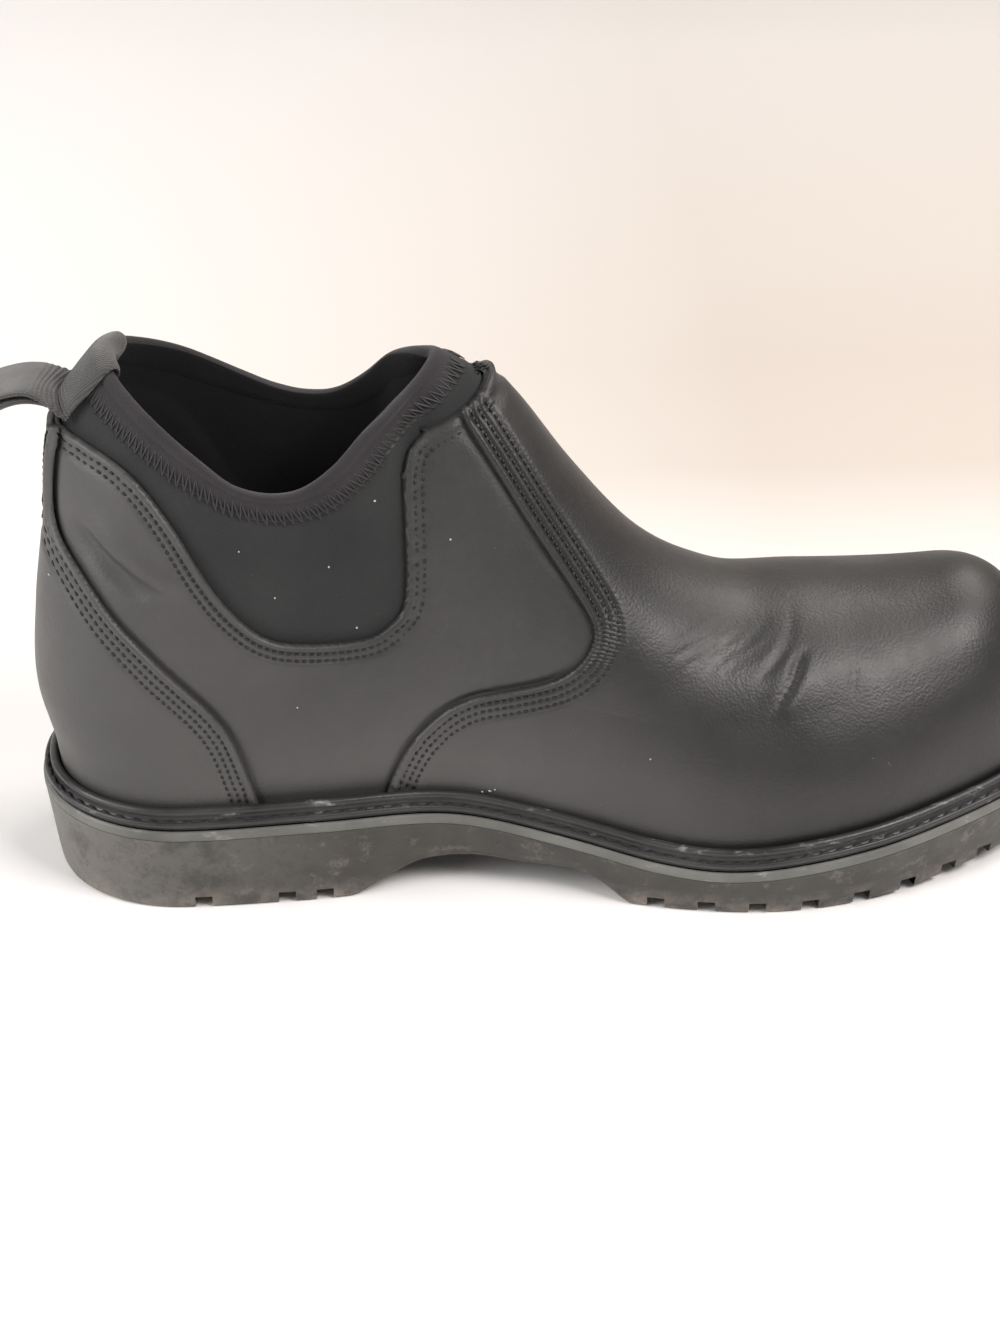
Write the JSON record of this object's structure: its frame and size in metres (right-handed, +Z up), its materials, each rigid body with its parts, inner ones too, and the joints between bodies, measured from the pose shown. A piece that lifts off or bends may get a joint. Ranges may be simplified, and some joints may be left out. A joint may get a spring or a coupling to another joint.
{
  "type": "side gore work boot",
  "caption": "Low black pull-on leather work boot, right foot, with stretch side gores, storm welt, lugged rubber sole and webbing pull loop.",
  "frame": {"origin": "on the floor under the heel, at the heel tread's flat", "axes": "+X to the toe, +Z up, -Y the outer side of the foot"},
  "size_m": [0.3395, 0.1114, 0.161],
  "materials": {
    "outsole_rubber": "matte gum rubber",
    "midsole_rubber": "matte",
    "welt_rubber": "satin",
    "insole_foam": "matte",
    "quarter_leather": "waxed matte",
    "vamp_leather": "waxed matte",
    "counter_leather": "waxed matte",
    "neoprene": "matte knit over foam",
    "collar_edge": "matte knit",
    "webbing": "ribbed weave"
  },
  "bodies": {
    "root": {"outsole": "outsole_rubber", "midsole": "midsole_rubber", "welt": "welt_rubber", "insole": "insole_foam", "upper": "quarter_leather", "vamp": "vamp_leather", "heel_counter": "counter_leather", "gore_collar": "neoprene", "collar_fold": "collar_edge", "pull_loop": "webbing"}
  },
  "joints": []
}
